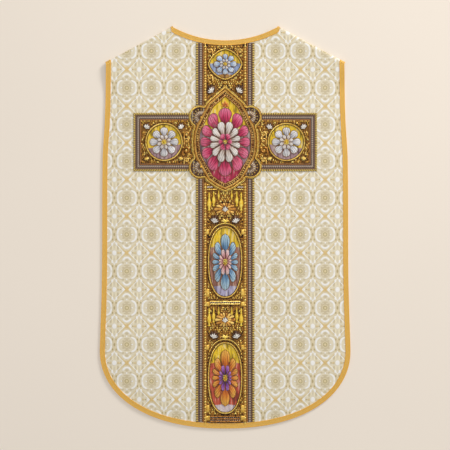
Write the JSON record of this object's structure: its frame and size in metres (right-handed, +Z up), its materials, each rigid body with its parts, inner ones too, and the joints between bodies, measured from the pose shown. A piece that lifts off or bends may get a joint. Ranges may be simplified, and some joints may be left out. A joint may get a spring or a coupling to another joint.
{
  "type": "fiddleback chasuble",
  "caption": "Fiddleback chasuble laid flat, back up, with a cross of embroidered orphrey bands, a barbed quatrefoil medallion, padded flowers and galloon edging.",
  "frame": {"origin": "on the surface it lies on, under the middle of the garment's length and width", "axes": "+X across the garment, +Y along it from the hem to the neck, +Z up, out of the back's face"},
  "size_m": [0.673, 1.0811, 0.0133],
  "materials": {
    "brocade": "woven cream, white and pale gold brocade",
    "galloon": "woven gold braid",
    "goldwork": "couched gold thread",
    "braid": "ribbed braid in grey-mauve, brown and gold",
    "cord": "twisted gold cord and padded gold work",
    "crimson": "satin stitch in silk",
    "white": "satin stitch in silk",
    "sky": "satin stitch in silk",
    "blue": "satin stitch in silk",
    "orange": "satin stitch in silk"
  },
  "bodies": {
    "root": {"back_panel": "brocade", "front_panel": "brocade", "back_edge_galloon": "galloon", "back_neck_galloon": "galloon", "front_edge_galloon": "galloon", "front_neck_galloon": "galloon", "orphrey_upper": "goldwork", "orphrey_lower": "goldwork", "orphrey_arm_left": "goldwork", "orphrey_arm_right": "goldwork", "braid_upper_left": "braid", "braid_upper_right": "braid", "braid_lower_left": "braid", "braid_lower_right": "braid", "braid_arm_left": "braid", "braid_arm_right": "braid", "medallion_ground": "goldwork", "medallion_cord": "cord", "medallion_inner_cord": "cord", "medallion_rose": "crimson", "upper_frame": "cord", "upper_flower": "sky", "arm_left_frame": "cord", "arm_left_flower": "white", "arm_right_frame": "cord", "arm_right_flower": "white", "middle_frame": "cord", "middle_flower": "blue", "lower_frame": "cord", "lower_flower": "orange", "boss_under_medallion": "cord", "boss_between_frames": "cord"}
  },
  "joints": []
}
